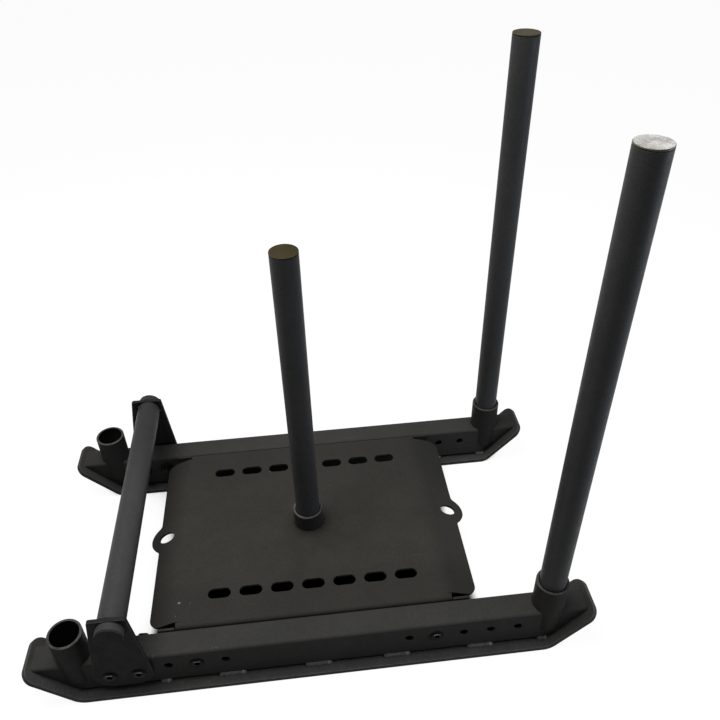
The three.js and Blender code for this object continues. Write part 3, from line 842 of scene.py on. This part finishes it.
# %% Uprights and weight post
upright_foot, upright_top, post_foot, post_top = 50.3 * mm, 973 * mm, 56.3 * mm, 730 * mm
for side_name, side in sides.items():
    tube, cap = add_pole(f"{side_name}_upright_pole_tube", upright_foot, upright_top)
    for piece in (tube, cap):
        piece.location = (socket_line, side * rail_line, 0)
        settle(piece)
    body = f"{side_name}_upright_pole"
    hand_over(tube, pole_coat, "pole_coat", body, f"{side_name}_upright")
    # The near upright's cap takes the lighter copy, a painted highlight.
    hand_over(cap, cap_coat_painted_highlight if side < 0 else cap_coat, "cap_coat", body, f"{side_name}_upright_cap")
tube, cap = add_pole("weight_post_tube", post_foot, post_top)
hand_over(tube, pole_coat, "pole_coat", "weight_post_pole", "weight_post")
hand_over(cap, cap_coat, "cap_coat", "weight_post_pole", "weight_post_cap")

# %% Low push bar
bar_x, bar_z, bar_end = -342 * mm, 197 * mm, 300 * mm
bar = add_tube("low_bar_tube", pole_radius, pole_bore, tube_below_top - bar_end, bar_end - tube_below_top)
round_edges(bar, 0.6 * mm)
bar.location = (bar_x, 0, bar_z)
bar.rotation_euler.x = math.pi / 2
settle(bar)
hand_over(bar, pole_coat, "pole_coat", "sled_frame", "low_push_bar")
bar_cap = add_cap("bar_cap", bar_end)
for side_name, side in sides.items():
    cap = copy(bar_cap, f"low_bar_{side_name}_cap", move=(bar_x, 0, bar_z), turn=(-side * math.pi / 2, 0, 0))
    # The bar caps take the same darker copy of the rail coat, a painted shade.
    hand_over(cap, shaded_bracket_coat, "pole_coat", "sled_frame", f"low_push_bar_{side_name}_cap")
discard(bar_cap)

# %% [markdown]
# ## Bracket plates
#
# Each end of the low bar passes through a flat plate that is bolted to the outside of the
# rail, narrow at the head and wide with two large round corners at the foot. The outline is a
# plane with four moved corners, rounded by bevelling the vertices; Solidify gives the 8 mm.

# %% Outline, thickness, holes
bracket_inner, bracket_outer = 275.3 * mm, 283.3 * mm
bracket_x, bracket_z = -350 * mm, 123 * mm
bracket_corners = [(x * mm, z * mm, tangent * mm) for x, z, tangent in (
    (-376, 222, 3.4), (-312, 222, 3.65), (-407, 24, 39.7), (-294, 24, 37.2))]

bracket = add_sheet("left_bracket_plate", (bracket_x, bracket_z, 0), 200 * mm, 200 * mm)
edit(bracket)
for x, z, _ in bracket_corners:
    pick(bracket, "VERT", lambda v, way: (v.x > bracket_x) == (x > bracket_x)
         and (v.y > bracket_z) == (z > bracket_z))
    now = next(v.co for v in bmesh.from_edit_mesh(bracket.data).verts if v.select)
    bpy.ops.transform.translate(value=(x - now.x, z - now.y, 0))
for x, z, tangent in bracket_corners:
    pick(bracket, "VERT", lambda v, way: near(v.x, x) and near(v.y, z))
    bpy.ops.mesh.bevel(offset=tangent, segments=12, affect="VERTICES")
leave()
face_up(bracket)
thicken(bracket, bracket_outer - bracket_inner)
bracket.rotation_euler.x = math.pi / 2
bracket.location.y = -bracket_outer
settle(bracket)
cutters = spread(add_bit(hole_radius, 40), [(-x, -rail_line, hole_height) for x in stations[3:]])
cutters += spread(add_bit(pole_radius + play), [(bar_x, -rail_line, bar_z)])
carve(bracket, merge("cutters", cutters))
round_edges(bracket, 1.1 * mm, segments=3)
bracket_right = copy(bracket, "right_bracket_plate", mirror="y")
hand_over(bracket, shaded_bracket_coat, "rail_coat", "sled_frame", "left_bar_bracket")
hand_over(bracket_right, shaded_bracket_coat, "rail_coat", "sled_frame", "right_bar_bracket")

# %% [markdown]
# ## Deck
#
# The deck is one folded sheet. On a press brake the flanges and the lips are bent from flat
# stock, and here it goes the same way: a plane, its long edges spun down into the flanges,
# which run on beside the lips, its ends spun down into the lips, the tow ears grown from the
# lips step by step, and the sheet's thickness last. Then the slots, the oval eyes and the
# round holes are cut through it.

# %% Fold the sheet
deck_top, deck_thickness = 93 * mm, 5 * mm
flat_half, lip_half = 258 * mm, 211 * mm
fold_line, fold_radius = 215.7 * mm, 9 * mm
fold_foot = deck_top - fold_radius
flange_drop, flange_end, flange_gap, flange_rise = 51 * mm, 290 * mm, 2 * mm, 6 * mm
lip_angle, lip_radius = math.radians(20.5), 46 * mm
lip_reach, lip_corner, lip_x = 53 * mm, 22 * mm, 260.53 * mm
ear_reach, ear_radius, ear_fillet = 38 * mm, 34.5 * mm, 12 * mm
lip_start = lip_radius * math.tan(lip_angle / 2)
bend_line = lip_x - lip_start
relief = 1 * mm  # the narrow notch between a lip and a flange
ear_neck = math.sqrt((ear_radius + ear_fillet) ** 2 - (lip_reach + ear_fillet - ear_reach) ** 2)

deck = add_sheet("deck_sheet", (0, 0, deck_top), 2 * bend_line, 2 * lip_half)
edit(deck)
for y in (-ear_neck, ear_neck):
    bpy.ops.mesh.select_all(action="SELECT")
    bpy.ops.mesh.bisect(plane_co=(0, y, 0), plane_no=(0, 1, 0))
for side in sides.values():
    pick(deck, "EDGE", lambda mid, way: near(mid.y, side * lip_half) and abs(way.x) > 0.9)
    extrude(0, side * relief, 0)
    extrude(0, side * (fold_line - lip_half - relief), 0)
    bpy.ops.mesh.spin(steps=8, angle=math.pi / 2, center=(0, side * fold_line, fold_foot), axis=(side, 0, 0))
    extrude(0, 0, -flange_drop)
for end in ends.values():
    pick(deck, "EDGE", lambda mid, way: near(mid.x, end * bend_line) and abs(mid.y) > lip_half + relief)
    extrude(end * (flat_half - bend_line), 0, 0)
    pick(deck, "EDGE", lambda mid, way: near(mid.x, end * flat_half) and abs(way.z) > 0.99
         and mid.z < fold_foot)
    extrude(end * flange_gap, 0, 0)
    extrude(end * (flange_end - flat_half - flange_gap), 0, 0)
    pick(deck, "EDGE", lambda mid, way: near(mid.z, fold_foot) and abs(way.x) > 0.99
         and end * mid.x > flat_half + flange_gap)
    extrude(0, 0, flange_rise)
print("ear neck", ear_neck)

# %% Bend the lips and grow the ears
touch = math.acos((lip_reach + ear_fillet - ear_reach) / (ear_radius + ear_fillet))
ear_outline = [(lip_reach + ear_fillet * (1 - math.cos(touch * i / 5)),
                ear_neck - ear_fillet * math.sin(touch * i / 5)) for i in range(6)]
ear_outline += [(ear_reach + ear_radius * math.cos(touch * (1 - i / 12)),
                 ear_radius * math.sin(touch * (1 - i / 12))) for i in range(1, 13)]


def lip_line(end):
    """Where the slope of a lip starts, and the way it runs."""
    return Vector((end * lip_x, 0, deck_top)), Vector((end * math.cos(lip_angle), 0, -math.sin(lip_angle)))


for end in ends.values():
    start, along = lip_line(end)
    pick(deck, "EDGE", lambda mid, way: near(mid.x, end * bend_line) and abs(way.y) > 0.9
         and abs(mid.y) < lip_half and near(mid.z, deck_top))
    bpy.ops.mesh.spin(steps=10, angle=lip_angle, center=(end * bend_line, 0, deck_top - lip_radius),
                      axis=(0, -end, 0))
    extrude(*along * (lip_reach - lip_start))
    tip = start + along * lip_reach
    pick(deck, "VERT", lambda v, way: near(v.x, tip.x) and near(abs(v.y), lip_half))
    bpy.ops.mesh.bevel(offset=lip_corner, segments=10, affect="VERTICES")
    pick(deck, "EDGE", lambda mid, way: near(mid.x, tip.x) and near(mid.y, 0) and abs(way.y) > 0.9)
    for (s, half), (next_s, next_half) in zip(ear_outline, ear_outline[1:]):
        extrude(*along * (next_s - s))
        shrink(1, max(next_half, 0.01 * mm) / half, start + along * next_s)
leave()
face_up(deck)
thicken(deck, deck_thickness)

# %% Cut slots, eyes and bolt holes
slot_radius, slot_stretch, slot_pitch, slot_row = 11 * mm, 11 * mm, 60 * mm, 158 * mm
eye_radius, eye_half_width = 17 * mm, 12.5 * mm
flange_line = 222 * mm

slot_cut = add_rod("slot_cut", slot_radius, under_deck, over_deck, 48)
edit(slot_cut)
for end in ends.values():
    pick(slot_cut, "VERT", lambda v, way: v.x * end > 0.1 * mm)
    bpy.ops.transform.translate(value=(end * slot_stretch, 0, 0))
leave()
cutters = spread(slot_cut, [(slot_pitch * i, side * slot_row, 0)
                            for i in range(-3, 4) for side in sides.values()])
eye_cut = add_rod("eye_cut", eye_radius, -20 * mm, 20 * mm)
eye_cut.scale.y = eye_half_width / eye_radius
settle(eye_cut)
for end in ends.values():
    start, along = lip_line(end)
    cutters.append(copy(eye_cut, "cutter", move=start + along * ear_reach, turn=(0, end * lip_angle, 0)))
discard(eye_cut)
cutters.append(add_rod("cutter", socket_outer + play, under_deck, over_deck))
cutters += spread(add_bit(hole_radius, 40), [(end * stations[1], side * flange_line, hole_height)
                                             for side in sides.values() for end in ends.values()])
carve(deck, merge("cutters", cutters))
round_edges(deck, 0.8 * mm)
hand_over(deck, deck_coat, "deck_coat", "sled_frame", "deck_plate")

# %% [markdown]
# ## Bolts and nuts
#
# Low-head bolts with a hex socket outside, a flanged nut inside the rail. One of each is
# modelled lying on the clamped face with its head upwards, then copied to the eight places and
# turned outwards.

# %% Bolt
bolt_radius, bolt_tip, tip_chamfer, past_clamped = 7.9 * mm, 6.4 * mm, 1.5 * mm, 17.3 * mm
head_radius, head_rim, head_height = 12.5 * mm, 1 * mm, 3 * mm
key_radius, key_depth = 10 * mm / math.sqrt(3), 5 * mm
# The painted highlight on a bolt head lies in this band.
highlight_low, highlight_high, highlight_half = 4.2 * mm, 7.4 * mm, 5.5 * mm  # over and beside the bolt's middle


def add_bolt(name, clamped):
    """Head just off the clamped face, shank down through what it clamps and past the nut."""
    piece = add_rod(name, head_radius, play, play + head_rim, 48)
    edit(piece)
    pick(piece, "FACE", lambda mid, way: way.z > 0.9)
    reach, height = head_radius, 0
    for i in range(1, 8):
        a = math.pi / 2 * i / 7
        radius = key_radius + (head_radius - key_radius) * math.cos(a)
        rise = (head_height - head_rim) * math.sin(a)
        extrude(0, 0, rise - height)
        shrink(radius / reach, radius / reach)
        reach, height = radius, rise
    pick(piece, "FACE", lambda mid, way: way.z < -0.9)
    bpy.ops.mesh.inset(thickness=head_radius - bolt_radius)
    extrude(0, 0, -(clamped + past_clamped + play - tip_chamfer))
    extrude(0, 0, -tip_chamfer)
    shrink(bolt_tip / bolt_radius, bolt_tip / bolt_radius)
    leave()
    head_top = play + head_height
    carve(piece, add_rod("key", key_radius, head_top - key_depth, head_top + key_depth, 6))
    return round_edges(piece, 0.35 * mm, sharper_than=30)


def paint_head_highlight(piece):
    """Paints a highlight on the upper edge of a head and of its key, by raising their edge mark."""
    middle = sum(corner[0] for corner in piece.bound_box) / 8

    def rubbed(v):
        return (abs(v.y) > rail_outer_face and highlight_low < v.z - hole_height < highlight_high
                and abs(v.x - middle) < highlight_half)
    raise_wear_and_highlight(piece, rubbed, 2.0)


# %% Nut
nut_half, nut_height, nut_chamfer = 12 * mm, 14 * mm, 4.6 * mm
flange_radius, flange_rim, flange_cone, cone_radius = 16 * mm, 3 * mm, 2 * mm, 12.5 * mm


def add_nut(name, clamped):
    """A hexagon on a coned flange, its far corners turned down, with a bore for the bolt."""
    face = -(clamped + play)
    piece = add_rod(name, nut_half / math.cos(math.pi / 6), face - nut_height, face, 6)
    flange = add_rod("flange", flange_radius, face - flange_rim, face, 64)
    edit(flange)
    pick(flange, "FACE", lambda mid, way: way.z < -0.9)
    extrude(0, 0, -flange_cone)
    shrink(cone_radius / flange_radius, cone_radius / flange_radius)
    leave()
    carve(piece, flange, "UNION")
    turned_down = add_rod("turned_down", flange_radius + 0.5 * mm, face - nut_height, face + 2 * mm, 64)
    edit(turned_down)
    pick(turned_down, "EDGE", lambda mid, way: near(mid.z, face - nut_height) and abs(way.z) < 0.1)
    bpy.ops.mesh.bevel(offset=nut_chamfer, segments=6, affect="EDGES")
    leave()
    carve(piece, turned_down, "INTERSECT")
    carve(piece, add_rod("bore", bolt_radius + play, face - 20 * mm, face + 8 * mm, 64))
    return round_edges(piece, 0.35 * mm, sharper_than=30)


# %% Copy the fasteners to their eight places
rail_inner_face, rail_outer_face, flange_inner_face = 225 * mm, 275 * mm, 219.7 * mm
kinds = {  # outer face, inner face, place at each end
    "bracket": (bracket_outer, rail_inner_face, {"rear": -stations[3], "front": -stations[4]}),
    "deck": (rail_outer_face, flange_inner_face, {"rear": stations[1], "front": -stations[1]}),
}
for kind, (outer, inner, places) in kinds.items():
    masters = {"bolt": add_bolt("bolt", outer - inner), "nut": add_nut("nut", outer - inner)}
    turned_by = 0
    for side_name, side in sides.items():
        for end_name, x in places.items():
            turned_by += 23
            for part, master in masters.items():
                upright = copy(master, "turned", turn=(0, 0, math.radians(turned_by)))
                name = f"{side_name}_{kind}_{end_name}_{part}"
                piece = copy(upright, name + "_made", move=(x, side * outer, hole_height),
                             turn=(-side * math.pi / 2, 0, 0))
                discard(upright)
                if part == "bolt":
                    # Painted highlight on the head's upper edge.
                    paint_head_highlight(piece)
                hand_over(piece, fastener_steel, "fastener_steel", "sled_frame", name)
    for master in masters.values():
        discard(master)

# %% [markdown]
# ## Welds
#
# The rails are stitch-welded to the skids: beads with gaps between them, on both sides, and a
# short tack near each end. A bead is a row of overlapping drops. Flattened spheres in a row
# are remeshed into one skin and smoothed a little, so the ripples stay; then beads and tacks
# are copied along the rails.

# %% One bead
drop_radius, drop_pitch, flattened = 4.4 * mm, 4.2 * mm, 0.75
swell, sway = 0.08, 0.5 * mm  # how much the drops differ in size and place


def add_bead(name, length):
    drops = []
    count = round((length - 2 * drop_radius) / drop_pitch)
    for i in range(count + 1):
        bpy.ops.mesh.primitive_uv_sphere_add(
            segments=20, ring_count=12, radius=drop_radius * (1 + swell * math.sin(1.7 * i)),
            location=((i - count / 2) * drop_pitch, sway * math.sin(2.3 * i), 0))
        drop = bpy.context.object
        drop.scale.z = flattened
        drops.append(settle(drop))
    bead = merge(name, drops)
    modify(bead, "REMESH", mode="VOXEL", voxel_size=0.7 * mm)
    modify(bead, "SMOOTH", factor=0.5, iterations=2)
    take(bead)
    bpy.ops.object.shade_smooth()
    mark(bead, [0.15] * len(bead.data.vertices))
    # A painted glint: a spot on top, near one end of the bead, is painted with the full lighter colour.
    raise_wear_and_highlight(bead, lambda v: abs(v.x - length / 2 + 6 * mm) < 2 * mm and v.z > 1.5 * mm, 1.0)
    return bead


# %% Stitch the rails to the skids
bead, tack = add_bead("bead", 50 * mm), add_bead("tack", 22 * mm)
stitches = ((-284, tack), (-162, bead), (-3, bead), (144, bead), (303, bead), (424, tack))
stitch_out, stitch_height, stitch_lean = 26 * mm, 11.6 * mm, math.radians(-40)
for side_name, side in sides.items():
    beads = [copy(form, "stitch", turn=(stitch_lean * face, 0, 0),
                  move=((x - 2 * face) * mm, side * rail_line + face * stitch_out, stitch_height))
             for x, form in stitches for face in (-1, 1)]
    hand_over(merge(f"{side_name}_stitch_welds", beads), weld_coat, "rail_coat", "sled_frame")
discard(bead)
discard(tack)

# %% [markdown]
# ## What stays from the CAD model
#
# The stops inside the sockets and the ribs under the deck are plain plates on the real sled
# too, so their CAD solids stay and only take the coats.

# %% Coat the kept solids
for name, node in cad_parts.items():
    kept = deck_coat if name.endswith("_rib") else rail_coat if name.endswith("_stop") else None
    if kept:
        for i in range(len(node.material_slots)):
            node.material_slots[i].material = kept
        print(name, "keeps its solid")
